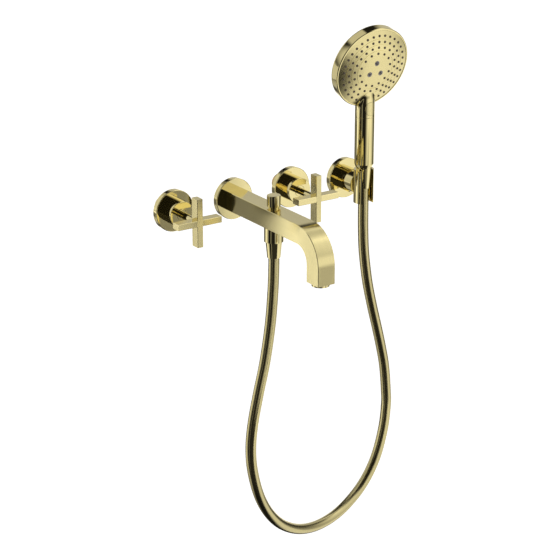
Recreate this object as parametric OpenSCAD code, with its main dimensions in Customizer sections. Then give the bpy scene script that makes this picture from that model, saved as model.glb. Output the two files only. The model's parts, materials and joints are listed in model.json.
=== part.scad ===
/* [Layout] */
// Distance from the spout to each tap
tap_gap = 100; // [80:1:160]
// Distance from the spout to the shower holder
holder_x = 198; // [150:1:400]
// How far the holder sits below the taps
holder_drop = 2; // [0:0.5:40]

/* [Wall plates] */
// Radius of the four wall plates
plate_r = 30.5; // [25:0.5:40]
// Thickness of the wall plates
plate_t = 8.5; // [4:0.5:10]
// Rounding of the front edge of the plates
plate_round = 1; // [0.5:0.1:2.5]

/* [Taps] */
// Radius of the sleeve behind each handle
sleeve_r = 19; // [18:0.5:24]
// Distance from the wall to the front of the sleeve
sleeve_out = 28; // [27:0.5:40]
// Radius of the handle stem
stem_r = 5; // [4.5:0.1:6]
// Distance from the wall to the back of the handle
cross_out = 62; // [56:1:80]
// Span of the cross handle
cross_span = 70; // [55:1:90]
// Width of the handle bars
bar_w = 9; // [9:0.5:14]
// Depth of the handle bars
bar_d = 15; // [11:0.5:20]

/* [Spout] */
// Width and height of the square spout
spout_s = 28; // [27:0.5:36]
// Distance from the wall to the front of the spout
spout_out = 239; // [180:1:300]
// Outer radius of the spout bend
bend_r = 52; // [40:1:70]
// Depth of the spout mouth below the tap centre line
spout_drop = 62; // [55:1:90]
// Distance from the wall to the diverter
diverter_out = 110; // [80:1:130]
// Travel of the diverter knob
diverter_travel = 8; // [4:0.5:8]

/* [Shower] */
// Distance from the wall to the shower holder axis
cradle_out = 52; // [48:1:70]
// Outer radius of the holder cradle
cradle_r = 15; // [14.5:0.1:18]
// Height of the holder cradle
cradle_h = 51; // [40:1:70]
// Radius of the hand shower grip
grip_r = 14.5; // [14:0.1:16]
// Radius of the spray head
head_r = 62; // [50:0.2:70]
// Downward tilt of the spray head in degrees
head_tilt = 15.4; // [5:0.1:25]
// Radius of the shower hose
hose_r = 8; // [6:0.1:8.2]

/* [Hidden] */

e = 0.01;
fit = 0.05;
thread_r = 10.48;
nipple_r = 10.3;
body_thread_r = 13.22;
port_z = -10.4;
half = spout_s / 2;
wall_s = 4;
inner = half - wall_s;
socket = plate_t + 6;
bend_y = spout_out - bend_r;
mouth_y = spout_out - half;
seat_z = -inner;
disc_h = 4;
roof_z = seat_z + disc_h + diverter_travel;
bush_top = half + 3;
collar_z = -34.5;
nut_top_r = 11.9;
nut_low_r = 9.6;
nut_z = -58.5;
hold_z = -holder_drop;
grip_z = 26;
seat_low = -5;
seam_z = 103;
neck_top = 128;
button_z = 117;
selector_top = 121.8;
face_y = 69;
face_z = 178.6;
face_r = head_r - 3;
dome_r = 200;
dome_c = 0.4 + sqrt(pow(dome_r, 2) - pow(face_r, 2));
centre_r = 21.5;
jet_ring = 11;
rings = [[25.8, 14], [34.8, 20], [43, 26], [51.5, 32]];
function face_w(r) = dome_c - sqrt(pow(dome_r, 2) - pow(r, 2));

// Hose route in millimetres: distance along the hanging plane, then height.
route = [
    [0, -58.5], [0, -72], [-2, -109], [-8, -158], [-20, -212], [-35, -258], [-47, -300],
    [-52, -338], [-48, -376], [-33, -422], [-9, -461], [23, -492], [65, -515], [112, -525],
    [162, -521], [212, -500], [247, -466], [267, -422], [274, -382], [273, -355],
    [267, -311], [257, -274], [245, -237], [232, -199], [219, -155], [210, -108],
    [207, -70], [206.3, -34], [206.3, -5]
];
hose_steps = 2;
hose_sides = 10;
hang = sqrt(pow(holder_x, 2) + pow(diverter_out - cradle_out, 2));
hang_x = holder_x / hang;
hang_y = (diverter_out - cradle_out) / hang;

// Places a part so that its +Z points straight out of the wall.
module out_of_wall(x, z) {
    translate([x, 0, z]) rotate([90, 0, 0]) children();
}

// Turned ring with a bore, standing on z0.
module ring(r, bore, z0, z1) {
    translate([0, 0, z0]) difference() {
        cylinder(r = r, h = z1 - z0, $fn = 96);
        translate([0, 0, -e]) cylinder(r = bore, h = z1 - z0 + 2 * e, $fn = 96);
    }
}

// Solid round bar from z0 to z1.
module rod(r, z0, z1) {
    translate([0, 0, z0]) cylinder(r = r, h = z1 - z0, $fn = 96);
}

module plate_shape(hole_r) {
    rotate_extrude($fn = 128) difference() {
        union() {
            square([plate_r - plate_round, plate_t]);
            square([plate_r, plate_t - plate_round]);
            translate([plate_r - plate_round, plate_t - plate_round]) circle(plate_round, $fn = 32);
        }
        translate([-1, -1]) square([hole_r + 1, plate_t + 2]);
        translate([-1, -1]) square([29.5, 3.5]);
    }
}

module grub(r, length) {
    difference() {
        cylinder(r = r, h = length, $fn = 48);
        translate([0, 0, length - 1.2]) cylinder(r = r * 0.55, h = 2, $fn = 6);
    }
}

// Long bar with four bevelled edges, lying along X.
module bar(length) {
    c = 0.5;
    w = bar_w / 2;
    d = bar_d / 2;
    rotate([90, 0, 90]) linear_extrude(height = length, center = true) polygon([
        [-w + c, -d], [w - c, -d], [w, -d + c], [w, d - c],
        [w - c, d], [-w + c, d], [-w, d - c], [-w, -d + c]
    ]);
}

module tap_plate() {
    color("gold") plate_shape(17 + fit);
}

module tap_sleeve() {
    color("gold") rotate_extrude($fn = 128) difference() {
        union() {
            translate([0, 2.5]) square([17, plate_t - 2.5 + e]);
            translate([0, plate_t]) square([sleeve_r, sleeve_out - plate_t - 0.6]);
            translate([0, plate_t]) square([sleeve_r - 0.6, sleeve_out - plate_t]);
            translate([sleeve_r - 0.6, sleeve_out - 0.6]) circle(0.6, $fn = 24);
        }
        translate([-1, 0]) square([16.1, sleeve_out - 3]);
        translate([-1, 0]) square([9, sleeve_out + 1]);
        polygon([[8, sleeve_out - 0.3], [8.4, sleeve_out + 0.1], [7, sleeve_out + 0.1], [7, sleeve_out - 0.3]]);
    }
}

module stem_guide() {
    color("gold") rotate_extrude($fn = 96) difference() {
        union() {
            translate([0, sleeve_out - 4]) square([10, 1]);
            translate([0, sleeve_out - 3 - e]) square([8 - fit, 3 + e]);
        }
        translate([-1, 0]) square([stem_r + fit + 1, sleeve_out + 1]);
        polygon([[7.55, sleeve_out + 0.1], [8.2, sleeve_out - 0.55], [8.2, sleeve_out + 0.1]]);
    }
}

module valve_body() {
    color("goldenrod") difference() {
        union() {
            rod(body_thread_r, -26, e);
            rod(15, 0, 23.5);
        }
        rod(9 + fit, -18, 30);
        rod(12, 14, 30);
        rod(6, -27, -17);
        translate([0, 0, port_z]) rotate([0, 90, 0]) cylinder(r = 2, h = 40, center = true, $fn = 48);
    }
}

module cartridge() {
    color("silver") difference() {
        union() {
            rod(9, -18, 14 + e);
            rod(12 - fit, 14, 17);
        }
        rod(7.1, -19, -9.5);
        rod(3.03, -19, 20);
        translate([0, 0, port_z]) rotate([0, 90, 0]) cylinder(r = 1.8, h = 40, center = true, $fn = 48);
    }
}

module gland_nut() {
    color("goldenrod") difference() {
        ring(12 - fit, 3.4, 17, 23.5);
        translate([-13, -1.5, 21.5]) cube([26, 3, 3]);
    }
}

module fixed_disc() {
    color("white") difference() {
        rod(7, -18, -15);
        for (s = [-1, 1]) translate([s * 3.8, 0, 0]) rod(2.2, -19, -14);
    }
}

module moving_disc() {
    color("whitesmoke") difference() {
        rod(7, -15, -12);
        for (s = [-1, 1]) translate([0, s * 3.8, 0]) rod(2.2, -16, -11);
        for (s = [-1, 1]) translate([s * 4.4, 0, 0]) rod(1.05, -13.6, -11);
    }
}

module spindle() {
    color("silver") difference() {
        union() {
            rod(3, -12 + e, 50);
            rod(6.9, -12, -10);
            for (s = [-1, 1]) translate([s * 4.4, 0, 0]) rod(1, -13.4, -11);
        }
        translate([-4, -6.4, 42]) cube([8, 4, 9]);
    }
}

module handle_stem() {
    color("gold") difference() {
        union() {
            rod(stem_r, 24.5, cross_out);
            rod(4, cross_out - e, cross_out + 8);
        }
        rod(3.03, 24, 52);
        translate([0, 0, 45]) rotate([90, 0, 0]) cylinder(r = 1.5 + fit, h = 9, $fn = 48);
    }
}

module cross_handle() {
    color("gold") difference() {
        translate([0, 0, cross_out + bar_d / 2]) union() {
            bar(cross_span);
            rotate([0, 0, 90]) bar(cross_span);
        }
        rod(4 + fit, cross_out - 1, cross_out + 8);
    }
}

module grub_screw() {
    color("dimgray") translate([0, -2.4, 45]) rotate([90, 0, 0]) grub(1.5, 2.4);
}

module plate_seals() {
    color("black") for (x = [-tap_gap, 0, tap_gap]) out_of_wall(x, 0) ring(28.4, 20, 0, 2.5);
}

module spout_plate() {
    color("gold") out_of_wall(0, 0) plate_shape(12 + fit);
}

module spout_nipple() {
    color("goldenrod") out_of_wall(0, 0) difference() {
        union() {
            rod(thread_r, -22, 0);
            rod(nipple_r, -e, socket);
        }
        rod(7, -23, socket + 1);
        ring(12, 9.8, socket - 5, socket - 1);
    }
}

// Square section with four bevelled edges, around the centre of the tube.
module spout_section() {
    c = 0.6;
    polygon([
        [-half + c, -half], [half - c, -half], [half, -half + c], [half, half - c],
        [half - c, half], [-half + c, half], [-half, half - c], [-half, -half + c]
    ]);
}

module spout_path(sides) {
    out_of_wall(0, 0) translate([0, 0, plate_t]) linear_extrude(height = bend_y - plate_t) children();
    translate([0, -bend_y, half - bend_r]) rotate([0, 90, 0]) rotate([0, 0, 180])
        rotate_extrude(angle = 90, $fn = 128) translate([bend_r - half, 0]) children();
}

module spout_body() {
    color("gold") difference() {
        union() {
            spout_path() spout_section();
            translate([0, -mouth_y, -spout_drop]) linear_extrude(height = spout_drop + half - bend_r) spout_section();
            out_of_wall(0, 0) rod(12, 0.5, plate_t + e);
        }
        difference() {
            union() {
                out_of_wall(0, 0) translate([-inner, -inner, socket]) cube([2 * inner, 2 * inner, bend_y - socket]);
                translate([0, -bend_y, half - bend_r]) rotate([0, 90, 0]) rotate([0, 0, 180])
                    rotate_extrude(angle = 90, $fn = 128) translate([bend_r - half, 0]) square(2 * inner, center = true);
                translate([-inner, -mouth_y - inner, -49]) cube([2 * inner, 2 * inner, 49 + half - bend_r]);
            }
            translate([-half, -diverter_out - 13, roof_z]) cube([2 * half, 26, 2]);
            translate([-half, -diverter_out - 15, -half]) cube([2 * half, 2, half + roof_z + 2]);
            translate([-half, -diverter_out + 13, roof_z]) cube([2 * half, 2, half]);
        }
        out_of_wall(0, 0) rod(nipple_r + fit, 0, socket + 1);
        translate([0, -diverter_out, 0]) {
            rod(9 + fit, -half - 1, -inner + 1);
            rod(6 + fit, inner - 1, half + 1);
            rod(6.5, 0, roof_z + 3);
        }
        translate([0, 3 - socket, -half - 1]) cylinder(r = 2 + fit, h = 8, $fn = 48);
        translate([0, -mouth_y, 0]) rod(11.5 + fit, -spout_drop - 1, -49);
    }
}

module spout_grub_screw() {
    color("dimgray") translate([0, 3 - socket, -9.8]) rotate([180, 0, 0]) grub(2, 3.8);
}

module diverter_bush() {
    color("gold") translate([0, -diverter_out, 0]) union() {
        ring(7.5, 2.53, half, bush_top);
        ring(6, 2.53, inner - 1.5, half + e);
    }
}

module diverter_knob() {
    color("gold") translate([0, -diverter_out, 0]) rotate_extrude($fn = 96) difference() {
        union() {
            translate([0, bush_top]) square([9.8, 15]);
            translate([0, bush_top]) square([8.8, 16]);
            translate([8.8, bush_top + 15]) circle(1, $fn = 24);
        }
        translate([-1, bush_top - 1]) square([3.53, 11]);
    }
}

module diverter_rod() {
    color("silver") translate([0, -diverter_out, 0]) union() {
        rod(2.5, seat_z + 0.6, bush_top + 10);
        rod(5, seat_z + disc_h, seat_z + disc_h + 1);
    }
}

module diverter_disc() {
    color("black") translate([0, -diverter_out, 0]) difference() {
        rod(8, seat_z, seat_z + disc_h);
        rod(2.5, seat_z + 0.6, seat_z + disc_h + 1);
    }
}

// Helical wire from z0 to z1, drawn as one closed tube.
module coil(r, wire, z0, z1, turns) {
    per = 12;
    sides = 6;
    n = turns * per;
    pts = [for (i = [0 : n]) for (k = [0 : sides - 1])
        let (a = 360 * i / per, b = 360 * k / sides, q = r + wire * cos(b))
        [q * cos(a), q * sin(a), z0 + wire + (z1 - z0 - 2 * wire) * i / n + wire * sin(b)]];
    faces = concat(
        [[for (k = [0 : sides - 1]) k]],
        [for (i = [0 : n - 1]) for (k = [0 : sides - 1])
            [i * sides + k, (i + 1) * sides + k, (i + 1) * sides + (k + 1) % sides]],
        [for (i = [0 : n - 1]) for (k = [0 : sides - 1])
            [i * sides + k, (i + 1) * sides + (k + 1) % sides, i * sides + (k + 1) % sides]],
        [[for (k = [sides - 1 : -1 : 0]) n * sides + k]]
    );
    polyhedron(points = pts, faces = faces, convexity = 8);
}

module diverter_spring() {
    color("silver") translate([0, -diverter_out, 0]) coil(4, 0.5, seat_z + disc_h + 1, inner - 1.5, 4);
}

module hose_outlet() {
    color("gold") translate([0, -diverter_out, 0]) difference() {
        union() {
            rod(9, -half, seat_z);
            rod(13.9, collar_z, -half);
            rod(thread_r, collar_z - 6, collar_z + e);
        }
        rod(6.5, collar_z - 7, seat_z + 1);
    }
}

module aerator_housing() {
    color("gold") translate([0, -mouth_y, 0]) union() {
        ring(12.6, 10.2, -spout_drop - 3.5, -spout_drop);
        ring(11.5, 10.2, -spout_drop - e, -51);
    }
}

module aerator_insert() {
    color("darkgray") translate([0, -mouth_y, 0]) difference() {
        rod(10.2 - fit, -spout_drop - 1.5, -51);
        rod(8.8, -spout_drop + 1, -50);
        for (k = [0 : 5]) rotate([0, 0, 60 * k]) translate([3.2, 0, 0]) cube_hole(1.6);
        for (k = [0 : 11]) rotate([0, 0, 30 * k]) translate([6.4, 0, 0]) cube_hole(1.6);
        cube_hole(1.6);
    }
}

module cube_hole(s) {
    translate([-s / 2, -s / 2, -spout_drop - 3]) cube([s, s, 6]);
}

module aerator_seal() {
    color("black") translate([0, -mouth_y, 0]) ring(11.4, 8.8, -51, -49);
}

module hose_nut(z0, z1, depth) {
    difference() {
        translate([0, 0, z0]) cylinder(r1 = nut_low_r, r2 = nut_top_r, h = z1 - z0, $fn = 96);
        rod(thread_r + fit, z1 - depth, z1 + 1);
        rod(6, z0 - 1, z1);
    }
}

module hose_spout_nut() {
    color("gold") translate([0, -diverter_out, 0]) hose_nut(nut_z, collar_z, 8);
}

module hose_spout_washer() {
    color("black") translate([0, -diverter_out, 0]) ring(10.3, 6, collar_z - 8, collar_z - 6);
}

module hose_shower_nut() {
    color("gold") translate([holder_x, -cradle_out, 0]) hose_nut(seat_low, grip_z, 10);
}

module hose_shower_washer() {
    color("black") translate([holder_x, -cradle_out, 0]) ring(10.3, 6, grip_z - 10, grip_z - 8);
}

module holder_plate() {
    color("gold") out_of_wall(holder_x, hold_z) plate_shape(17 + fit);
}

module holder_bracket() {
    color("silver") out_of_wall(holder_x, hold_z) difference() {
        union() {
            rod(27, 0, 2.5);
            rod(12, 2.5 - e, 20);
        }
        rod(6, -1, 21);
        ring(13, 11.4, 10, 14);
        for (s = [-1, 1]) translate([0, s * 20, 0]) {
            rod(2.6, -1, 3);
            translate([0, 0, 0.5]) cylinder(r1 = 2.6, r2 = 4.6, h = 2 + e, $fn = 64);
        }
    }
}

module holder_screws() {
    color("silver") out_of_wall(holder_x, hold_z) for (s = [-1, 1]) translate([0, s * 20, 0]) difference() {
        union() {
            rod(2.1, -12, 0);
            rod(2, -e, 1);
            translate([0, 0, 0.6]) cylinder(r1 = 2.5, r2 = 4.4, h = 1.9, $fn = 64);
        }
        for (a = [0, 90]) rotate([0, 0, a]) translate([-2.5, -0.4, 1.5]) cube([5, 0.8, 2]);
    }
}

module holder_post() {
    color("gold") out_of_wall(holder_x, hold_z) difference() {
        union() {
            rod(17, 2.5, plate_t + e);
            rod(18, plate_t, 23);
            rod(15.5, 23 - e, 24 + e);
            rod(16.5, 24, 41);
        }
        rod(12 + fit, 2, 20.5);
        rod(9 + fit, 30, 42);
        translate([0, 0, cradle_out]) rotate([90, 0, 0]) cylinder(r = cradle_r + 0.1, h = 60, center = true, $fn = 128);
        translate([0, 0, 12]) rotate([90, 0, 0]) cylinder(r = 2 + fit, h = 30, $fn = 48);
    }
}

module holder_grub_screw() {
    color("dimgray") out_of_wall(holder_x, hold_z) translate([0, -11.4, 12]) rotate([90, 0, 0]) grub(2, 5);
}

module holder_cradle() {
    slope = (nut_top_r - nut_low_r) / (grip_z - seat_low);
    top = hold_z + cradle_h / 2;
    low = hold_z - cradle_h / 2;
    color("gold") translate([holder_x, -cradle_out, 0]) difference() {
        union() {
            rod(cradle_r, low, top);
            translate([0, 0, hold_z]) rotate([-90, 0, 0]) cylinder(r = 9, h = 22, $fn = 96);
        }
        translate([0, 0, seat_low]) cylinder(
            r1 = nut_low_r + 0.06, r2 = nut_low_r + 0.06 + slope * (top + 1 - seat_low),
            h = top + 1 - seat_low, $fn = 96);
        rod(nut_low_r + 0.06, low - 1, seat_low + e);
        translate([-9, -cradle_r - 5, low - 1]) cube([18, cradle_r + 5, cradle_h + 2]);
    }
}

// Smooth point on the hose between route points i and i + 1.
function spline(i, t) = let (
    n = len(route), a = route[max(i - 1, 0)], b = route[i], c = route[i + 1], d = route[min(i + 2, n - 1)]
) 0.5 * (2 * b + (c - a) * t + (2 * a - 5 * b + 4 * c - d) * t * t + (3 * b - a - 3 * c + d) * t * t * t);

module shower_hose() {
    n = len(route);
    path = concat([for (i = [0 : n - 2]) for (k = [0 : hose_steps - 1]) spline(i, k / hose_steps)], [route[n - 1]]);
    m = len(path);
    pts = [for (i = [0 : m - 1]) for (k = [0 : hose_sides - 1])
        let (
            v = i == 0 || i == m - 1 ? [0, 1] : path[i + 1] - path[i - 1],
            s = i == 0 || i == m - 1 ? (i == 0 ? -1 : 1) : 1,
            t = s * v / norm(v),
            b = 360 * k / hose_sides,
            p = path[i] + hose_r * cos(b) * [t[1], -t[0]],
            q = hose_r * sin(b)
        )
        [p[0] * hang_x - q * hang_y, -diverter_out + p[0] * hang_y + q * hang_x, p[1]]];
    faces = concat(
        [[for (k = [0 : hose_sides - 1]) k]],
        [for (i = [0 : m - 2]) for (k = [0 : hose_sides - 1])
            [i * hose_sides + k, (i + 1) * hose_sides + k, (i + 1) * hose_sides + (k + 1) % hose_sides]],
        [for (i = [0 : m - 2]) for (k = [0 : hose_sides - 1])
            [i * hose_sides + k, (i + 1) * hose_sides + (k + 1) % hose_sides, i * hose_sides + (k + 1) % hose_sides]],
        [[for (k = [hose_sides - 1 : -1 : 0]) (m - 1) * hose_sides + k]]
    );
    color("darkgoldenrod") polyhedron(points = pts, faces = faces, convexity = 10);
}

module at_grip() {
    translate([holder_x, -cradle_out, 0]) children();
}

module at_face() {
    translate([holder_x, -face_y, face_z]) rotate([head_tilt - 90, 0, 0]) children();
}

module shower_connector() {
    color("goldenrod") at_grip() difference() {
        union() {
            rod(thread_r, grip_z - 8, grip_z + 2 + e);
            rod(11.5, grip_z + 2, grip_z + 16);
        }
        rod(5, grip_z - 9, grip_z + 17);
        rod(7, grip_z + 6, grip_z + 17);
    }
}

module shower_grip() {
    color("gold") at_grip() difference() {
        union() {
            translate([0, 0, grip_z]) cylinder(r1 = nut_top_r, r2 = grip_r, h = 6, $fn = 96);
            rod(grip_r, grip_z + 6 - e, seam_z);
        }
        rod(thread_r + fit, grip_z - 1, grip_z + 3);
        rod(11.5 + fit, grip_z + 2, seam_z + 1);
    }
}

module water_tube() {
    color("white") at_grip() ring(7 - fit, 5.5, grip_z + 6, seam_z + 2);
}

module stadium(w, h, d) {
    rotate([90, 0, 0]) linear_extrude(height = d) union() {
        square([w, h - w], center = true);
        for (s = [-1, 1]) translate([0, s * (h - w) / 2]) circle(d = w, $fn = 64);
    }
}

module head_shape() {
    back = 220;
    rotate_extrude($fn = 160) difference() {
        intersection() {
            union() {
                translate([0, 1]) square([head_r, 14]);
                square([head_r - 1, 17]);
                translate([head_r - 1, 1]) circle(1, $fn = 24);
                translate([0, 0]) square([head_r - 4, 29]);
                translate([head_r - 4, 15]) circle(4, $fn = 48);
            }
            translate([0, 26.2 - back]) circle(back, $fn = 360);
            union() {
                square([head_r - 4, 29]);
                square([head_r + 1, 15]);
                translate([head_r - 4, 15]) circle(4, $fn = 48);
            }
            square([head_r + 1, 29]);
        }
        translate([-1, -1]) square([face_r + 1.1, 4.4]);
        translate([-1, 0]) square([57.1, 5]);
        translate([-1, 0]) square([55, 15]);
    }
}

module shower_head() {
    color("gold") difference() {
        union() {
            at_face() head_shape();
            at_grip() rod(grip_r, seam_z, neck_top + 1);
            hull() {
                at_grip() rod(grip_r, neck_top, neck_top + 0.5);
                at_face() translate([0, 46, 1]) cylinder(r = 7, h = 8, $fn = 32);
            }
        }
        at_face() rod(54, 5, 15);
        at_face() rod(56.1, 3.3, 5);
        at_face() intersection() {
            rod(face_r + 0.1, -10, 3.4);
            translate([0, 0, dome_c - 0.1]) sphere(r = dome_r, $fn = 200);
        }
        at_grip() rod(11.5, seam_z - 1, selector_top + 0.4);
        translate([holder_x, -46, selector_top - 1]) cylinder(r = 2.5, h = 12, $fn = 48);
        translate([holder_x, -58, button_z]) stadium(16 + 0.2, 20 + 0.2, 12);
    }
}

module selector_body() {
    color("white") at_grip() difference() {
        rod(11.5 - fit, seam_z + 2, selector_top);
        translate([-12, -12, seam_z]) cube([24, 6, 30]);
        translate([0, 0, button_z]) rotate([90, 0, 0]) rod(3 + fit, -3, 12);
        translate([0, 0, button_z]) rotate([90, 0, 0]) rod(4.4, 2, 12);
        rod(3, seam_z, button_z - 8);
        translate([0, 5.5, 0]) rod(2.5, seam_z, neck_top);
    }
}

module select_button() {
    color("gold") at_grip() union() {
        intersection() {
            translate([0, -8.5, button_z]) stadium(16, 20, 8);
            rod(grip_r + 0.3, button_z - 12, button_z + 12);
        }
        translate([0, 0, button_z]) rotate([90, 0, 0]) rod(3, 0, 8.5 + e);
    }
}

module button_spring() {
    color("silver") translate([holder_x, -cradle_out, button_z]) rotate([90, 0, 0]) coil(3.75, 0.35, 2, 8.5, 5);
}

// Repeats its children round every ring of nozzles, leaving the foot of the head clear.
module nozzle_spots() {
    for (q = rings) for (k = [0 : q[1] - 1])
        let (a = 90 + 360 * k / q[1], x = q[0] * cos(a), y = q[0] * sin(a))
        if (y < 38 || abs(x) > 15) translate([x, y, face_w(q[0])]) rotate([0, 0, a]) children();
}

module jets() {
    for (k = [0 : 2]) rotate([0, 0, 120 * k - 90]) translate([jet_ring, 0, 0]) children();
}

// Profile of the domed spray face between two radii.
module dome_profile(r0, r1) {
    intersection() {
        translate([r0, -10]) square([r1 - r0, 13.4]);
        translate([0, dome_c]) circle(dome_r, $fn = 720);
    }
}

module spray_face() {
    color("gold") at_face() difference() {
        rotate_extrude($fn = 160) difference() {
            dome_profile(centre_r + fit, face_r);
            for (r = [30.3, 39, 47.2]) translate([r, face_w(r) - 1]) square([0.4, 1.4]);
        }
        nozzle_spots() translate([0, 0, -1]) cylinder(r = 1.7, h = 12, $fn = 8);
    }
}

module spray_centre() {
    color("gold") at_face() difference() {
        rotate_extrude($fn = 160) dome_profile(0, centre_r);
        jets() rod(3.9, -10, 4);
    }
}

module jet_nozzles() {
    color("gray") at_face() jets() ring(3.9 - fit, 1.2, face_w(jet_ring) - 0.4, 3.4);
}

module nozzle_mat() {
    color("dimgray") at_face() difference() {
        union() {
            rod(56, 3.4, 5);
            nozzle_spots() translate([0, 0, -0.5]) cylinder(r = 1.6, h = 12, $fn = 8);
        }
        jets() rod(1.2, 3, 6);
        rod(60, 5, 12);
    }
}

module hot_plate() { out_of_wall(-tap_gap, 0) tap_plate(); }
module hot_sleeve() { out_of_wall(-tap_gap, 0) tap_sleeve(); }
module hot_stem_guide() { out_of_wall(-tap_gap, 0) stem_guide(); }
module hot_valve_body() { out_of_wall(-tap_gap, 0) valve_body(); }
module hot_cartridge() { out_of_wall(-tap_gap, 0) cartridge(); }
module hot_gland_nut() { out_of_wall(-tap_gap, 0) gland_nut(); }
module hot_fixed_disc() { out_of_wall(-tap_gap, 0) fixed_disc(); }
module hot_moving_disc() { out_of_wall(-tap_gap, 0) moving_disc(); }
module hot_spindle() { out_of_wall(-tap_gap, 0) spindle(); }
module hot_handle_stem() { out_of_wall(-tap_gap, 0) handle_stem(); }
module hot_cross_handle() { out_of_wall(-tap_gap, 0) cross_handle(); }
module hot_grub_screw() { out_of_wall(-tap_gap, 0) grub_screw(); }
module cold_plate() { out_of_wall(tap_gap, 0) tap_plate(); }
module cold_sleeve() { out_of_wall(tap_gap, 0) tap_sleeve(); }
module cold_stem_guide() { out_of_wall(tap_gap, 0) stem_guide(); }
module cold_valve_body() { out_of_wall(tap_gap, 0) valve_body(); }
module cold_cartridge() { out_of_wall(tap_gap, 0) cartridge(); }
module cold_gland_nut() { out_of_wall(tap_gap, 0) gland_nut(); }
module cold_fixed_disc() { out_of_wall(tap_gap, 0) fixed_disc(); }
module cold_moving_disc() { out_of_wall(tap_gap, 0) moving_disc(); }
module cold_spindle() { out_of_wall(tap_gap, 0) spindle(); }
module cold_handle_stem() { out_of_wall(tap_gap, 0) handle_stem(); }
module cold_cross_handle() { out_of_wall(tap_gap, 0) cross_handle(); }
module cold_grub_screw() { out_of_wall(tap_gap, 0) grub_screw(); }

hot_plate();
hot_sleeve();
hot_stem_guide();
hot_valve_body();
hot_cartridge();
hot_gland_nut();
hot_fixed_disc();
hot_moving_disc();
hot_spindle();
hot_handle_stem();
hot_cross_handle();
hot_grub_screw();
cold_plate();
cold_sleeve();
cold_stem_guide();
cold_valve_body();
cold_cartridge();
cold_gland_nut();
cold_fixed_disc();
cold_moving_disc();
cold_spindle();
cold_handle_stem();
cold_cross_handle();
cold_grub_screw();
plate_seals();
spout_plate();
spout_nipple();
spout_body();
spout_grub_screw();
diverter_bush();
diverter_knob();
diverter_rod();
diverter_disc();
diverter_spring();
hose_outlet();
aerator_housing();
aerator_insert();
aerator_seal();
holder_plate();
holder_bracket();
holder_screws();
holder_post();
holder_grub_screw();
holder_cradle();
shower_hose();
hose_spout_nut();
hose_spout_washer();
hose_shower_nut();
hose_shower_washer();
shower_connector();
shower_grip();
water_tube();
shower_head();
selector_body();
select_button();
button_spring();
spray_face();
spray_centre();
nozzle_mat();
jet_nozzles();
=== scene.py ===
"""Wall mounted bath faucet with hand shower: the looks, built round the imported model."""

import json
import math

import bmesh
import bpy
from mathutils import Matrix, Vector


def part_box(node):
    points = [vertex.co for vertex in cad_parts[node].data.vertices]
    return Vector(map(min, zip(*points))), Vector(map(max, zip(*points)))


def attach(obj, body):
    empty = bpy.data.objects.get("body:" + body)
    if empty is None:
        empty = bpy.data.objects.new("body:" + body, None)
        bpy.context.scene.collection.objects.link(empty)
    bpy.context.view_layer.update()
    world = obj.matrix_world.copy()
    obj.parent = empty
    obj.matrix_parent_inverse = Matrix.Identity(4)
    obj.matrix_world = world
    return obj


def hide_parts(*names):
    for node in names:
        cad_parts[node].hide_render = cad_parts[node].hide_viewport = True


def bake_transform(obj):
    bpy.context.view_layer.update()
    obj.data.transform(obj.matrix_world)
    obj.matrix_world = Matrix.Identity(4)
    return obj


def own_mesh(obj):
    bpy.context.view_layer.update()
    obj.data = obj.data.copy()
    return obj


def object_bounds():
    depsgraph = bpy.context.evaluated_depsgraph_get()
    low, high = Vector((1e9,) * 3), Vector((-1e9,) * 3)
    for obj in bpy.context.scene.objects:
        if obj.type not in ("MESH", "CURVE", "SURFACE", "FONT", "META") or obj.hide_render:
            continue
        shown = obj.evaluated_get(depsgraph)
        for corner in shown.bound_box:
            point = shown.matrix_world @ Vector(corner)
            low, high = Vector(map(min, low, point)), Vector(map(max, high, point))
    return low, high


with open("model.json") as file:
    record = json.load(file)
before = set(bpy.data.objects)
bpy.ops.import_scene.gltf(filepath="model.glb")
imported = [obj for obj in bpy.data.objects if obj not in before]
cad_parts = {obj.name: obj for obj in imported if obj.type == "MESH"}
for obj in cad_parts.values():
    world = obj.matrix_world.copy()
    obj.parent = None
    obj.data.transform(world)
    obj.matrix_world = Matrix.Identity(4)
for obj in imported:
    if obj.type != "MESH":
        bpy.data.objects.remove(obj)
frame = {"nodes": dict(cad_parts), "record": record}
cad_low, cad_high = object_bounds()
nodes = frame["nodes"]
scene = bpy.context.scene

MM = 0.001
CREASE = 35  # degrees between two faces from which their edge stays sharp
CREASE_WEIGHT = 80

# Camera ------------------------------------------------------------------

CAMERA_AZIMUTH = math.radians(-33.8)
CAMERA_ELEVATION = math.radians(20.27)
CAMERA_DISTANCE = 2.7368
CAMERA_TARGET = Vector((0.0846, 0.0008, -0.1446))
FOCAL_LENGTH = 117.6


def direction(azimuth, elevation):
    """Unit vector for an azimuth from the front, towards +X, and an elevation."""
    flat = math.cos(elevation)
    return Vector((math.sin(azimuth) * flat, -math.cos(azimuth) * flat, math.sin(elevation)))


def make_camera():
    """Camera at the photo's angle, a little to the left and above."""
    camera = bpy.data.objects.new("camera", bpy.data.cameras.new("camera"))
    scene.collection.objects.link(camera)
    back = direction(CAMERA_AZIMUTH, CAMERA_ELEVATION)
    camera.location = CAMERA_TARGET + back * CAMERA_DISTANCE
    camera.rotation_euler = (-back).to_track_quat("-Z", "Y").to_euler()
    camera.data.lens = FOCAL_LENGTH
    camera.data.clip_end = 50
    scene.camera = camera


# Mesh helpers ------------------------------------------------------------


def centre(node):
    """Middle of a CAD node's box at rest."""
    low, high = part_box(node)
    return (low + high) / 2


def new_piece(name, body, replaced=()):
    """Empty mesh object that rides on a body and stands for CAD nodes."""
    piece = bpy.data.objects.new(name, bpy.data.meshes.new(name))
    scene.collection.objects.link(piece)
    if body:
        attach(piece, body)
    if replaced:
        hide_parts(*replaced)
    return piece


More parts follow.
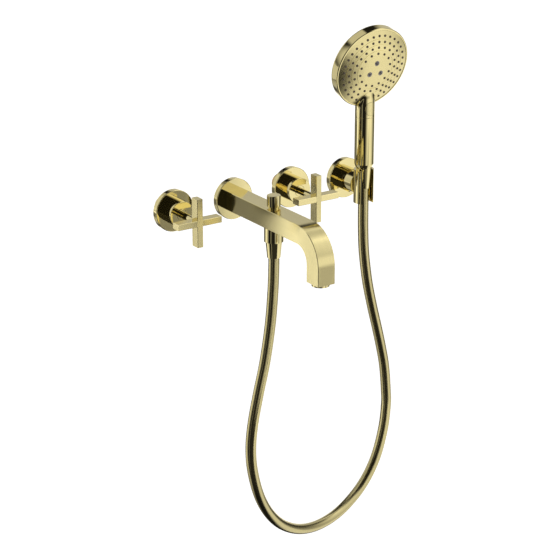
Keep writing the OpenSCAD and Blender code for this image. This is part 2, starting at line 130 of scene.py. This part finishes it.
def fill_mesh(piece, vertices, faces, place=None):
    """Gives a piece its mesh, moved to a place where one is given."""
    mesh = piece.data
    mesh.from_pydata([tuple(v) for v in vertices], [], faces)
    if place is not None:
        mesh.transform(place)
    mesh.update()


def soften(piece, angle=CREASE):
    """Smooth shading, with edges sharper than the angle kept crisp."""
    mesh = piece.data
    mesh.shade_smooth()
    mesh.set_sharp_from_angle(angle=math.radians(angle))
    weighted = piece.modifiers.new("weighted", "WEIGHTED_NORMAL")
    weighted.keep_sharp = True
    weighted.weight = CREASE_WEIGHT


def rounded(corners, steps=6):
    """Outline through (radius, height, fillet) corners, with each fillet as an arc."""
    points = []
    count = len(corners)
    for i, (r, z, fillet) in enumerate(corners):
        here = Vector((r, z))
        if fillet == 0:
            points.append(here)
            continue
        before = Vector(corners[i - 1][:2]) - here
        after = Vector(corners[(i + 1) % count][:2]) - here
        before.normalize()
        after.normalize()
        half = before.angle(after) / 2
        reach = fillet / math.tan(half)
        middle = here + (before + after).normalized() * (fillet / math.sin(half))
        first = here + before * reach - middle
        last = here + after * reach - middle
        turn = first.angle_signed(last)
        for k in range(steps + 1):
            a = -turn * k / steps
            points.append(middle + Matrix.Rotation(a, 2) @ first)
    return points


def spin(outline, sides, start=0):
    """Vertices in metres and faces of an outline in millimetres turned about +Z."""
    count = len(outline)
    vertices, faces = [], []
    for k in range(sides):
        a = 2 * math.pi * k / sides
        vertices += [(r * MM * math.cos(a), r * MM * math.sin(a), z * MM) for r, z in outline]
        here, there = start + k * count, start + ((k + 1) % sides) * count
        for i in range(count):
            after = (i + 1) % count
            faces.append((here + i, there + i, there + after, here + after))
    return vertices, faces


def tidy_mesh(piece):
    """Joins doubled points and turns every face outwards."""
    clean = bmesh.new()
    clean.from_mesh(piece.data)
    bmesh.ops.remove_doubles(clean, verts=clean.verts, dist=1e-7)
    bmesh.ops.dissolve_degenerate(clean, edges=clean.edges, dist=1e-8)
    bmesh.ops.recalc_face_normals(clean, faces=clean.faces)
    if clean.calc_volume(signed=True) < 0:
        bmesh.ops.reverse_faces(clean, faces=clean.faces)
    clean.to_mesh(piece.data)
    clean.free()


def lathe(piece, outline, places, sides=128):
    """One turned body per place, from an outline in millimetres."""
    vertices, faces = [], []
    for place in places:
        body, skin = spin(outline, sides, len(vertices))
        vertices += [place @ Vector(point) for point in body]
        faces += skin
    fill_mesh(piece, vertices, faces)
    tidy_mesh(piece)
    soften(piece)


def tube(piece, path, radius, sides, place=None):
    """Round tube along a path of points, with a turning frame that doesn't twist."""
    count = len(path)
    tangents = []
    for i in range(count):
        before, after = path[max(i - 1, 0)], path[min(i + 1, count - 1)]
        tangents.append((after - before).normalized())
    side = tangents[0].orthogonal().normalized()
    vertices = []
    for point, tangent in zip(path, tangents):
        side = (side - tangent * side.dot(tangent)).normalized()
        other = tangent.cross(side)
        for k in range(sides):
            a = 2 * math.pi * k / sides
            vertices.append(point + (side * math.cos(a) + other * math.sin(a)) * radius)
    faces = []
    for here in range(0, (count - 1) * sides, sides):
        for k in range(sides):
            after = (k + 1) % sides
            faces.append((here + k, here + after, here + sides + after, here + sides + k))
    faces.append(tuple(reversed(range(sides))))
    faces.append(tuple((count - 1) * sides + k for k in range(sides)))
    fill_mesh(piece, vertices, faces, place)
    soften(piece, 50)


# Hose --------------------------------------------------------------------

make_camera()

# Route in millimetres: distance along the hanging plane, then height.
HOSE_ROUTE = [
    (0, -58.5), (0, -72), (-2, -109), (-8, -158), (-20, -212), (-35, -258), (-47, -300),
    (-52, -338), (-48, -376), (-33, -422), (-9, -461), (23, -492), (65, -515), (112, -525),
    (162, -521), (212, -500), (247, -466), (267, -422), (274, -382), (273, -355),
    (267, -311), (257, -274), (245, -237), (232, -199), (219, -155), (210, -108),
    (207, -70), (206.3, -34), (206.3, -5),
]
HOSE_STEPS = 8
HOSE_SIDES = 40
HOSE_R = 8 * MM
outlet = centre("hose_spout_nut")
holder = centre("hose_shower_nut")
hanging = Vector((holder.x - outlet.x, holder.y - outlet.y, 0)).normalized()


def hose_point(i, t):
    """Smooth point between route points i and i + 1."""
    last = len(HOSE_ROUTE) - 1
    a, b, c, d = (Vector(HOSE_ROUTE[max(0, min(last, j))]) for j in (i - 1, i, i + 1, i + 2))
    square, cube = 2 * a - 5 * b + 4 * c - d, 3 * b - a - 3 * c + d
    flat = 0.5 * (2 * b + (c - a) * t + square * t**2 + cube * t**3)
    return Vector((outlet.x, outlet.y, 0)) + (hanging * flat.x + Vector((0, 0, flat.y))) * MM


def make_hose():
    """Free hanging hose from the spout to the hand shower."""
    spans = len(HOSE_ROUTE) - 1
    route = [hose_point(i, k / HOSE_STEPS) for i in range(spans) for k in range(HOSE_STEPS)]
    route.append(hose_point(spans - 1, 1))
    low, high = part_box("shower_hose")
    hose = new_piece("hose_tube", None, ["shower_hose"])
    tube(hose, route, HOSE_R, HOSE_SIDES)
    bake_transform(hose)
    return hose


# Spray head --------------------------------------------------------------

# Sizes in millimetres, and heights above the line of the taps.
GRIP_R = 14.5
HEAD_R = 62  # outside of the rim
LIP_R = 59.3  # inside of the rim
FACE_R = 59
DOME_R = 200  # roundness of the spray face
BACK_R = 220  # roundness of the back
FACE_EDGE = 0.4  # depth of the spray face's edge behind the rim
FACE_BED = 3.4  # depth of the shell's front wall, behind the spray face
HEAD_DEPTH = 26.2
SEAM_Z = 103
BUTTON_Z = 117
BUTTON_R, BUTTON_HALF = 8.2, 2.1  # opening for the button: end radius and half its straight side
BUTTON_Y = (-75, -49)
NECK_HALF = 17
NECK_STEPS = 14
NECK_SIDES = 128
NOZZLE_RINGS = [(25.8, 14), (34.8, 20), (43, 26), (51.5, 32)]  # radius and number
NOZZLE_FREE = (15, 38)  # half width and height from which the neck covers the face
JET_RING = 11
HEAD_TILT = math.radians(15.4)
HEAD_Y, HEAD_Z = -69, 178.6  # middle of the rim plane

# The head's own frame has +X to the right, +Y down the neck and +Z into the head.
grip = centre("shower_grip")
face_place = (
    Matrix.Translation((grip.x, HEAD_Y * MM, HEAD_Z * MM))
    @ Matrix.Rotation(HEAD_TILT - math.pi / 2, 4, "X")
)


def face_depth(r):
    """Depth of the domed spray face behind the rim plane, at a radius."""
    return FACE_EDGE + math.sqrt(DOME_R**2 - FACE_R**2) - math.sqrt(DOME_R**2 - r**2)


def back_depth(r):
    """Depth of the rounded back behind the rim plane, at a radius."""
    return HEAD_DEPTH - BACK_R + math.sqrt(BACK_R**2 - r**2)


def smooth(t):
    """Smooth step from 0 to 1."""
    t = max(0.0, min(1.0, t))
    return t * t * (3 - 2 * t)


def make_head_shell():
    """Round shell behind the spray face."""
    shell = new_piece("head_shell", "hand_shower", ["shower_head"])
    outline = rounded([
        (0, FACE_BED, 0), (LIP_R, FACE_BED, 0), (LIP_R, 0, 0.15), (HEAD_R, 0, 1.5),
        (HEAD_R, back_depth(HEAD_R), 4),
    ])
    outline += [(r, back_depth(r)) for r in range(54, -1, -3)]
    lathe(shell, outline, [face_place], 192)
    return shell


def neck_end(angle):
    """Where the neck meets the head, and the way it leaves, for an angle from the front."""
    s, c = math.sin(angle), math.cos(angle)
    x = NECK_HALF * s
    if c >= 0:
        y = FACE_R - 23 * c
        point = Vector((x, y, face_depth(min(FACE_R, math.hypot(x, y))) + 0.35))
        slope = Vector((s, -c, 0))
    else:
        y = math.sqrt((HEAD_R - 0.7)**2 - x**2) - 1.2 * c * c
        point = Vector((x, y, -NECK_HALF * c))
        slope = Vector((s, 0, -c))
    return face_place @ (point * MM), face_place.to_3x3() @ slope


def make_neck():
    """Neck that rises from the grip and flows into the face in front and the rim behind."""
    neck = new_piece("head_neck", "hand_shower", [])
    axis = Vector((grip.x, grip.y, 0))
    seam = [(SEAM_Z, GRIP_R - 0.4), (SEAM_Z + 0.15, GRIP_R - 0.12), (SEAM_Z + 0.5, GRIP_R)]
    columns = []
    for k in range(NECK_SIDES):
        angle = 2 * math.pi * k / NECK_SIDES
        out = Vector((math.sin(angle), -math.cos(angle), 0))
        side = math.degrees(abs(angle if angle < math.pi else angle - 2 * math.pi))
        front = smooth((80 - side) / 42)  # 1 in front, where the neck stays straight for longer
        begin = axis + out * GRIP_R * MM + Vector((0, 0, (112.5 + 15 * front) * MM))
        end, slope = neck_end(angle)
        rise = Vector((0, 0, (11 + 5 * front) * MM))
        leave = slope * (7 + 6 * front) * MM
        column = [axis + Vector((0, 0, z * MM)) + out * r * MM for z, r in seam]
        for i in range(NECK_STEPS + 1):
            t = i / NECK_STEPS
            column.append(
                begin * (2 * t**3 - 3 * t**2 + 1) + rise * (t**3 - 2 * t**2 + t)
                + end * (3 * t**2 - 2 * t**3) + leave * (t**3 - t**2)
            )
        columns.append(column)
    count = len(columns[0])
    faces = []
    for k in range(NECK_SIDES):
        here, there = k * count, ((k + 1) % NECK_SIDES) * count
        faces += [(here + i, there + i, there + i + 1, here + i + 1) for i in range(count - 1)]
    faces.append(tuple(k * count for k in range(NECK_SIDES)))
    faces.append(tuple(k * count + count - 1 for k in range(NECK_SIDES)))
    fill_mesh(neck, [point for column in columns for point in column], faces)
    tidy_mesh(neck)
    cut_button_recess(neck)
    soften(neck, 40)
    return neck


def cut_button_recess(neck):
    """Cuts the long round opening that the select button sits in."""
    cutter = bpy.data.objects.new("recess", bpy.data.meshes.new("recess"))
    scene.collection.objects.link(cutter)
    steps = 24
    rim = []
    for end, first in ((1, 0), (-1, math.pi)):
        for k in range(steps + 1):
            a = math.pi * k / steps + first
            rim.append((BUTTON_R * math.cos(a), end * BUTTON_HALF + BUTTON_R * math.sin(a)))
    count = len(rim)
    vertices = [
        Vector((grip.x + x * MM, y * MM, (BUTTON_Z + z) * MM)) for y in BUTTON_Y for x, z in rim
    ]
    faces = [(k, (k + 1) % count, count + (k + 1) % count, count + k) for k in range(count)]
    faces += [tuple(range(count)), tuple(range(count, 2 * count))]
    fill_mesh(cutter, vertices, faces)
    tidy_mesh(cutter)
    cut = neck.modifiers.new("cut", "BOOLEAN")
    cut.operation = "DIFFERENCE"
    cut.object = cutter
    cut.solver = "EXACT"
    solved = neck.evaluated_get(bpy.context.evaluated_depsgraph_get())
    result = bpy.data.meshes.new_from_object(solved)
    neck.modifiers.remove(cut)
    neck.data = result
    bpy.data.objects.remove(cutter)


def on_face(x, y):
    """Place on the spray face with +Z out of it."""
    spot = Matrix.Translation(Vector((x, y, face_depth(math.hypot(x, y)))) * MM)
    return face_place @ spot @ Matrix.Rotation(math.pi, 4, "X")


def make_nozzles():
    """Rings of small soft nozzles, left out where the neck covers the face."""
    nozzles = new_piece("spray_nozzles", "hand_shower", ["nozzle_mat"])
    spots = []
    for radius, count in NOZZLE_RINGS:
        for k in range(count):
            a = math.pi / 2 + 2 * math.pi * k / count
            x, y = radius * math.cos(a), radius * math.sin(a)
            if abs(x) > NOZZLE_FREE[0] or y < NOZZLE_FREE[1]:
                spots.append(on_face(x, y))
    outline = [
        (0, -1.2), (2.05, -1.2), (2.05, 0.02), (1.85, 0.12), (1.7, 0.45), (1.45, 0.85),
        (1.1, 1.05), (0.7, 1.05), (0.55, 0.85), (0.5, 0.2), (0, 0.2),
    ]
    lathe(nozzles, outline, spots, 16)
    return nozzles


def make_jets():
    """Three larger nozzles round the middle of the face, one of them at the top."""
    jets = new_piece("jet_rings", "hand_shower", ["jet_nozzles"])
    outline = [
        (1.25, -4), (3.86, -4), (3.86, 0.2), (3.7, 0.42), (3.3, 0.5), (2.9, 0.4), (2.65, 0.1),
        (2.2, -0.5), (1.6, -1.3), (1.25, -1.9),
    ]
    angles = [math.radians(120 * k - 90) for k in range(3)]
    spots = [on_face(JET_RING * math.cos(a), JET_RING * math.sin(a)) for a in angles]
    lathe(jets, outline, spots, 48)
    return jets


# Springs -----------------------------------------------------------------


SPRING_STEPS = 28  # path points a turn
SPRING_SIDES = 12


def make_spring(piece, node, place, length, radius, wire, turns):
    """Round wire spring in place of a node, along the place's +Z."""
    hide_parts(node)
    steps = turns * SPRING_STEPS
    path = []
    for i in range(steps + 1):
        a = 2 * math.pi * i / SPRING_STEPS
        rise = wire * MM + (length - 2 * wire * MM) * i / steps
        path.append(place @ Vector((radius * MM * math.cos(a), radius * MM * math.sin(a), rise)))
    tube(piece, path, wire * MM, SPRING_SIDES)


def make_springs():
    """Both springs, the lift spring riding on the base and the press spring on the hand shower.
    """
    low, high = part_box("diverter_spring")
    middle = (low + high) / 2
    lift = new_piece("lift_spring", "base")
    foot = Matrix.Translation((middle.x, middle.y, low.z))
    make_spring(lift, "diverter_spring", foot, high.z - low.z, 4, 0.5, 4)
    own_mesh(lift)

    low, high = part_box("button_spring")
    middle = (low + high) / 2
    press = new_piece("press_spring", "hand_shower")
    back = (middle.x, high.y, middle.z)
    forward = Matrix.Translation(back) @ Matrix.Rotation(math.pi / 2, 4, "X")
    make_spring(press, "button_spring", forward, high.y - low.y, 3.75, 0.35, 5)
    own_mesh(press)
    return lift, press


# Materials ---------------------------------------------------------------

GOLD = (0.87, 0.76, 0.38)
SATIN = tuple(c * 0.95 for c in GOLD)
HOSE_GOLD = tuple(c * 0.72 for c in GOLD)


def feed(tree, socket, value):
    """Sets an input to a value, or links it where another node's output is given."""
    if isinstance(value, bpy.types.NodeSocket):
        tree.links.new(value, socket)
    else:
        socket.default_value = value


def linked(tree, kind, **inputs):
    """New node with its inputs fed by name."""
    node = tree.nodes.new(kind)
    for name, value in inputs.items():
        feed(tree, node.inputs[name], value)
    return node


def maths(tree, operation, first, second=0.0):
    """Result of a sum on two values or outputs."""
    node = tree.nodes.new("ShaderNodeMath")
    node.operation = operation
    for socket, value in zip(node.inputs, (first, second)):
        feed(tree, socket, value)
    return node.outputs[0]


def combined(tree, values):
    """Vector of three values or outputs."""
    node = tree.nodes.new("ShaderNodeCombineXYZ")
    for socket, value in zip(node.inputs, values):
        feed(tree, socket, value)
    return node.outputs["Vector"]


def noise(tree, scale, detail, coords=None):
    """Noise in object space, or over other coordinates where they are given."""
    if coords is None:
        coords = tree.nodes.new("ShaderNodeTexCoord").outputs["Object"]
    cloud = linked(tree, "ShaderNodeTexNoise", Vector=coords, Scale=scale, Detail=detail)
    return cloud.outputs["Fac"]


def ranged(tree, value, low, high, start=0.0, end=1.0):
    """From low to high as the value goes from start to end, and level beyond them."""
    node = linked(tree, "ShaderNodeMapRange", Value=value)
    node.inputs["From Min"].default_value = start
    node.inputs["From Max"].default_value = end
    node.inputs["To Min"].default_value = low
    node.inputs["To Max"].default_value = high
    return node.outputs["Result"]


def blended(tree, factor, first, second):
    """Colour between two, by a factor from 0 to 1."""
    mix = tree.nodes.new("ShaderNodeMix")
    mix.data_type = "RGBA"
    feed(tree, mix.inputs[0], factor)
    feed(tree, mix.inputs[6], (*first, 1))
    feed(tree, mix.inputs[7], (*second, 1))
    return mix.outputs[2]


def blank(name):
    """New material with its node tree and main shader."""
    material = bpy.data.materials.new(name)
    material.use_nodes = True
    tree = material.node_tree
    return material, tree, tree.nodes["Principled BSDF"]


def plain_metal(name, colour, rough, patchy, scratches):
    """Metal with patchy gloss and fine scratches."""
    material, tree, shader = blank(name)
    shader.inputs["Metallic"].default_value = 1.0
    clouds = noise(tree, 18.0, 4.0)
    darker = tuple(c * 0.93 for c in colour)
    fade = ranged(tree, clouds, 0, 1, 0.35, 0.65)
    gloss = ranged(tree, clouds, rough - patchy, rough + patchy, 0.3, 0.7)
    fine = noise(tree, 300.0, 2.0)
    bump = linked(tree, "ShaderNodeBump", Strength=scratches, Distance=0.0004, Height=fine)
    feed(tree, shader.inputs["Base Color"], blended(tree, fade, darker, colour))
    feed(tree, shader.inputs["Roughness"], gloss)
    feed(tree, shader.inputs["Normal"], bump.outputs["Normal"])
    return material


# Each grain gives the brushing direction and noise coordinates that hardly change along it.
GRAIN_STRETCH = 0.02
SPOUT_BEND = 52 * MM  # outer radius of the spout's bend
TAP_X = 0.1  # from the middle of the spout to each tap
BAR_HALF = 4.6 * MM  # from the middle of the upright bar to just past its side


def spout_grain(tree, x, y, z):
    """Grain that follows the spout: straight out, round the bend, then down."""
    low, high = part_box("spout_body")
    ahead = maths(tree, "MINIMUM", maths(tree, "SUBTRACT", y, low.y + SPOUT_BEND), 0.0)
    above = maths(tree, "MAXIMUM", maths(tree, "SUBTRACT", z, high.z - SPOUT_BEND), 0.0)
    squares = [maths(tree, "POWER", value, 2.0) for value in (ahead, above)]
    across = maths(tree, "SQRT", maths(tree, "ADD", *squares))
    along = maths(tree, "MULTIPLY", maths(tree, "ADD", y, z), GRAIN_STRETCH)
    return (0.0, above, maths(tree, "MULTIPLY", ahead, -1.0)), (x, across, along)


def handle_grain(tree, x, y, z):
    """Grain along each bar of the cross: upright in the upright bar, level in the others."""
    across = maths(tree, "ABSOLUTE", maths(tree, "SUBTRACT", maths(tree, "ABSOLUTE", x), TAP_X))
    level = maths(tree, "GREATER_THAN", across, BAR_HALF)
    upright = maths(tree, "SUBTRACT", 1.0, level)

    def squeezed(value, where):
        less = maths(tree, "MULTIPLY", where, 1 - GRAIN_STRETCH)
        return maths(tree, "MULTIPLY", value, maths(tree, "SUBTRACT", 1.0, less))

    return (level, 0.0, upright), (squeezed(x, level), y, squeezed(z, upright))


def brushed_metal(name, colour, grain):
    """Satin metal whose fine brush marks stretch the highlight across the grain."""
    material, tree, shader = blank(name)
    shader.inputs["Metallic"].default_value = 1.0
    shader.inputs["Anisotropic"].default_value = 0.9
    shader.inputs["Anisotropic Rotation"].default_value = 0.25
    coords = tree.nodes.new("ShaderNodeTexCoord")
    spread = linked(tree, "ShaderNodeSeparateXYZ", Vector=coords.outputs["Object"])
    brushing, streak = grain(tree, *(spread.outputs[axis] for axis in "XYZ"))
    turned = linked(tree, "ShaderNodeVectorTransform", Vector=combined(tree, brushing))
    turned.vector_type = "VECTOR"
    turned.convert_from = "OBJECT"
    turned.convert_to = "WORLD"
    unit = linked(tree, "ShaderNodeVectorMath")
    unit.operation = "NORMALIZE"
    feed(tree, unit.inputs[0], turned.outputs[0])
    streaks = noise(tree, 900.0, 3.0, combined(tree, streak))
    darker = tuple(c * 0.94 for c in colour)
    fade = ranged(tree, streaks, 0, 1, 0.25, 0.6)
    normal = linked(tree, "ShaderNodeSeparateXYZ", Vector=coords.outputs["Normal"])
    facing = ranged(tree, maths(tree, "ABSOLUTE", normal.outputs["Y"]), 0.0, 0.03, 0.75, 1.0)
    patchy = ranged(tree, noise(tree, 14.0, 4.0), 0.14, 0.19, 0.3, 0.7)
    bump = linked(tree, "ShaderNodeBump", Strength=0.012, Distance=0.0003, Height=streaks)
    feed(tree, shader.inputs["Tangent"], unit.outputs[0])
    feed(tree, shader.inputs["Base Color"], blended(tree, fade, darker, colour))
    feed(tree, shader.inputs["Roughness"], maths(tree, "ADD", facing, patchy))
    feed(tree, shader.inputs["Normal"], bump.outputs["Normal"])
    return material


def dull(name, colour, rough, grain):
    """Rubber, plastic or ceramic: slightly mottled, with a fine grain."""
    material, tree, shader = blank(name)
    mottle = noise(tree, 120.0, 4.0)
    darker = tuple(c * 0.85 for c in colour)
    fine = noise(tree, 900.0, 2.0)
    bump = linked(tree, "ShaderNodeBump", Strength=grain, Distance=0.0002, Height=fine)
    gloss = ranged(tree, mottle, rough - 0.06, rough + 0.06, 0.3, 0.7)
    feed(tree, shader.inputs["Base Color"], blended(tree, mottle, darker, colour))
    feed(tree, shader.inputs["Roughness"], gloss)
    feed(tree, shader.inputs["Normal"], bump.outputs["Normal"])
    return material


polished = plain_metal("polished_gold", GOLD, 0.06, 0.015, 0.004)
satin = plain_metal("satin_gold", SATIN, 0.22, 0.03, 0.02)
spout_satin = brushed_metal("spout_satin", SATIN, spout_grain)
handle_satin = brushed_metal("handle_satin", SATIN, handle_grain)
hose_gold = plain_metal("hose_gold", HOSE_GOLD, 0.22, 0.02, 0.004)
brass = plain_metal("raw_brass", (0.72, 0.5, 0.22), 0.33, 0.06, 0.1)
steel = plain_metal("steel", (0.6, 0.6, 0.6), 0.28, 0.05, 0.06)
rubber = dull("black_rubber", (0.02, 0.02, 0.02), 0.6, 0.2)
silicone = dull("grey_silicone", (0.13, 0.1, 0.07), 0.38, 0.15)
jet_grey = dull("jet_grey", (0.3, 0.28, 0.27), 0.4, 0.1)
white_plastic = dull("white_plastic", (0.75, 0.75, 0.72), 0.4, 0.05)
grey_plastic = dull("grey_plastic", (0.2, 0.2, 0.2), 0.45, 0.05)
ceramic = dull("disc_ceramic", (0.85, 0.84, 0.8), 0.25, 0.02)

SLOT_MATERIALS = {
    "polished_gold": polished, "satin_gold": satin, "hose_gold": hose_gold, "raw_brass": brass,
    "steel": steel, "black_rubber": rubber, "grey_silicone": silicone,
    "white_plastic": white_plastic, "grey_plastic": grey_plastic, "disc_ceramic": ceramic,
}

# Brushed finishes of single nodes, whose grain follows their shape.
BRUSHED_NODES = {
    "spout_body": spout_satin, "hot_cross_handle": handle_satin,
    "cold_cross_handle": handle_satin,
}


def dress(piece, slot):
    """Gives a piece the material of a slot of the record."""
    piece.data.materials.clear()
    piece.data.materials.append(SLOT_MATERIALS[slot])


def dress_cad_nodes():
    """Gives each CAD node its slot's material, and clean shading across its seams."""
    for row in frame["record"]["subparts"]:
        node = nodes[row["node"]]
        dress(node, row["material_slot"])
        if row["node"] in BRUSHED_NODES:
            node.data.materials[0] = BRUSHED_NODES[row["node"]]
        weld = node.modifiers.new("weld", "WELD")
        weld.merge_threshold = 1e-6
        split = node.modifiers.new("split", "EDGE_SPLIT")
        split.split_angle = math.radians(CREASE)
        weighted = node.modifiers.new("weighted", "WEIGHTED_NORMAL")
        weighted.weight = CREASE_WEIGHT


# Light -------------------------------------------------------------------

LIGHT_COLOUR = (1, 0.99, 0.97, 1)
WHITE = (1, 1, 1, 1)
LEAST_LIGHT = 0.012

# Boxes of light by direction: strength, then the left, right, low and high side. Each side is
# (dark at, full at) in degrees, with azimuth from the front towards +X, and has no fade where
# it lies past 180 or 90.
LIGHT_BOXES = [
    (1.0, (-30, 8), (95, 38), (-27, -21), (22, 8)),
    (0.7, (50, 65), (135, 115), (36, 50), (82, 66)),
    (1.0, (22, 35), (100, 62), (8, 22), (62, 50)),
    (0.25, (-74, -70), (-60, -64), (-60, -30), (50, 30)),
    (1.2, (100, 118), (170, 155), (-45, -25), (8, -6)),
    (0.55, (100, 118), (170, 155), (-6, 8), (34, 24)),
    (0.8, (108, 118), (138, 128), (24, 34), (54, 47)),
    (0.8, (-138, -130), (-98, -116), (-62, -45), (52, 42)),
    (0.7, (-185, -184), (-136, -141), (-12, -4), (38, 32)),
    (0.7, (172, 177), (185, 184), (-12, -4), (38, 32)),
    (0.17, (-185, -184), (-136, -142), (-35, -15), (4, -4)),
    (0.45, (-185, -174), (-136, -142), (-65, -50), (-22, -30)),
    (0.08, (150, 165), (185, 184), (-65, -50), (-16, -24)),
    (0.6, (-185, -184), (-95, -115), (42, 50), (95, 94)),
    (0.6, (158, 168), (185, 184), (48, 56), (95, 94)),
]


def make_world():
    """Soft studio: broad boxes of light with dark gaps between them, and a pale backdrop."""
    world = bpy.data.worlds.new("studio")
    scene.world = world
    world.use_nodes = True
    tree = world.node_tree
    tree.nodes.clear()
    coords = tree.nodes.new("ShaderNodeTexCoord").outputs["Generated"]
    ray = linked(tree, "ShaderNodeSeparateXYZ", Vector=coords)
    ahead = maths(tree, "MULTIPLY", ray.outputs["Y"], -1.0)
    azimuth = maths(tree, "ARCTAN2", ray.outputs["X"], ahead)
    elevation = maths(tree, "ARCSINE", ray.outputs["Z"])

    def edge(value, start, end):
        """Smooth step from 0 at start to 1 at end, in degrees."""
        node = linked(tree, "ShaderNodeMapRange", Value=value)
        node.interpolation_type = "SMOOTHSTEP"
        flip = start > end
        node.inputs["From Min"].default_value = math.radians(min(start, end))
        node.inputs["From Max"].default_value = math.radians(max(start, end))
        node.inputs["To Min"].default_value = 1.0 if flip else 0.0
        node.inputs["To Max"].default_value = 0.0 if flip else 1.0
        return node.outputs["Result"]

    total = LEAST_LIGHT
    for strength, left, right, low, high in LIGHT_BOXES:
        across = maths(tree, "MULTIPLY", edge(azimuth, *left), edge(azimuth, *right))
        upright = maths(tree, "MULTIPLY", edge(elevation, *low), edge(elevation, *high))
        inside = maths(tree, "MULTIPLY", across, upright)
        total = maths(tree, "ADD", total, maths(tree, "MULTIPLY", inside, strength))

    # A low panel for the spray face, which fades out towards its left.
    low_panel = maths(tree, "MULTIPLY", edge(azimuth, 125, 100), edge(elevation, -18, -28))
    panel_side = ranged(tree, ray.outputs["X"], 0, 1, 0.18, 0.42)
    total = maths(tree, "ADD", total, maths(tree, "MULTIPLY", low_panel, panel_side))

    lit = linked(tree, "ShaderNodeBackground", Color=LIGHT_COLOUR, Strength=total)
    pale = linked(tree, "ShaderNodeBackground", Color=WHITE, Strength=1.0)
    camera_ray = tree.nodes.new("ShaderNodeLightPath").outputs["Is Camera Ray"]
    mix = linked(tree, "ShaderNodeMixShader", Fac=camera_ray)
    tree.links.new(lit.outputs[0], mix.inputs[1])
    tree.links.new(pale.outputs[0], mix.inputs[2])
    out = tree.nodes.new("ShaderNodeOutputWorld")
    tree.links.new(mix.outputs[0], out.inputs[0])


def make_panel(name, corners):
    """Flat rectangle in the scene."""
    panel = new_piece(name, None)
    fill_mesh(panel, corners, [(0, 1, 2, 3)])
    return panel


def show_in_reflections_only(panel):
    panel.visible_camera = False
    panel.visible_diffuse = False
    panel.visible_shadow = False


def make_card(name, near, far, low, high, dim, bright, start, end, top_fade=0.001):
    """Upright light card, dim to bright along X, that fades to full strength at its top."""
    card = make_panel(name, [(*near, low), (*far, low), (*far, high), (*near, high)])
    show_in_reflections_only(card)
    material = bpy.data.materials.new(name)
    material.use_nodes = True
    tree = material.node_tree
    tree.nodes.clear()
    coords = tree.nodes.new("ShaderNodeTexCoord").outputs["Object"]
    spread = linked(tree, "ShaderNodeSeparateXYZ", Vector=coords)
    along = ranged(tree, spread.outputs["X"], dim, bright, start, end)
    rise = ranged(tree, spread.outputs["Z"], 0, 1, high - top_fade, high)
    strength = maths(tree, "MAXIMUM", along, rise)
    light = linked(tree, "ShaderNodeEmission", Color=LIGHT_COLOUR, Strength=strength)
    out = tree.nodes.new("ShaderNodeOutputMaterial")
    feed(tree, out.inputs["Surface"], light.outputs[0])
    card.data.materials.append(material)


def make_flag():
    """Dark panel low in front, which keeps the glare off the hose."""
    left, right, low, high, front = -0.75, 0.235, -1.4, -0.33, -0.75
    corners = [(left, front, low), (right, front, low), (right, front, high), (left, front, high)]
    flag = make_panel("dark_flag", corners)
    show_in_reflections_only(flag)
    material, tree, shader = blank("dark_flag")
    shader.inputs["Base Color"].default_value = (0, 0, 0, 1)
    shader.inputs["Specular IOR Level"].default_value = 0.0
    shader.inputs["Emission Color"].default_value = LIGHT_COLOUR
    shader.inputs["Emission Strength"].default_value = 0.03
    flag.data.materials.append(material)


def make_floor():
    """Plain pale floor well below the hose, left out of the metal's reflections."""
    level = cad_low.z - 0.25
    reach = 12
    turns = ((-reach, -reach), (reach, -reach), (reach, reach), (-reach, reach))
    floor = make_panel("floor", [(x, y, level) for x, y in turns])
    floor.visible_glossy = False
    material, tree, shader = blank("pale_floor")
    shader.inputs["Base Color"].default_value = (0.8, 0.8, 0.8, 1)
    shader.inputs["Roughness"].default_value = 0.9
    shader.inputs["Emission Color"].default_value = WHITE
    shader.inputs["Emission Strength"].default_value = 0.85
    floor.data.materials.append(material)


dress(make_hose(), "hose_gold")
dress(make_head_shell(), "polished_gold")
dress(make_neck(), "polished_gold")
dress(make_nozzles(), "grey_silicone")
make_jets().data.materials.append(jet_grey)
for spring in make_springs():
    dress(spring, "steel")
dress_cad_nodes()
make_world()
# Seen in the spout's left side, in its front, and in the plates' and head's left rim.
make_card("side_card", (-0.506, 0.6), (-0.98, 0), -0.9, -0.12, 0.1, 1.3, -0.98, -0.58)
make_card("front_card", (0.24, -0.75), (0.56, -0.75), -0.36, -0.1, 0.28, 1.0, 0.36, 0.5, 0.16)
make_card("rim_card", (0.0, 0.32), (-0.3, 0.32), -0.02, 0.16, 0.65, 0.65, -0.3, 0.0)
make_flag()
make_floor()
scene.view_settings.view_transform = "Standard"
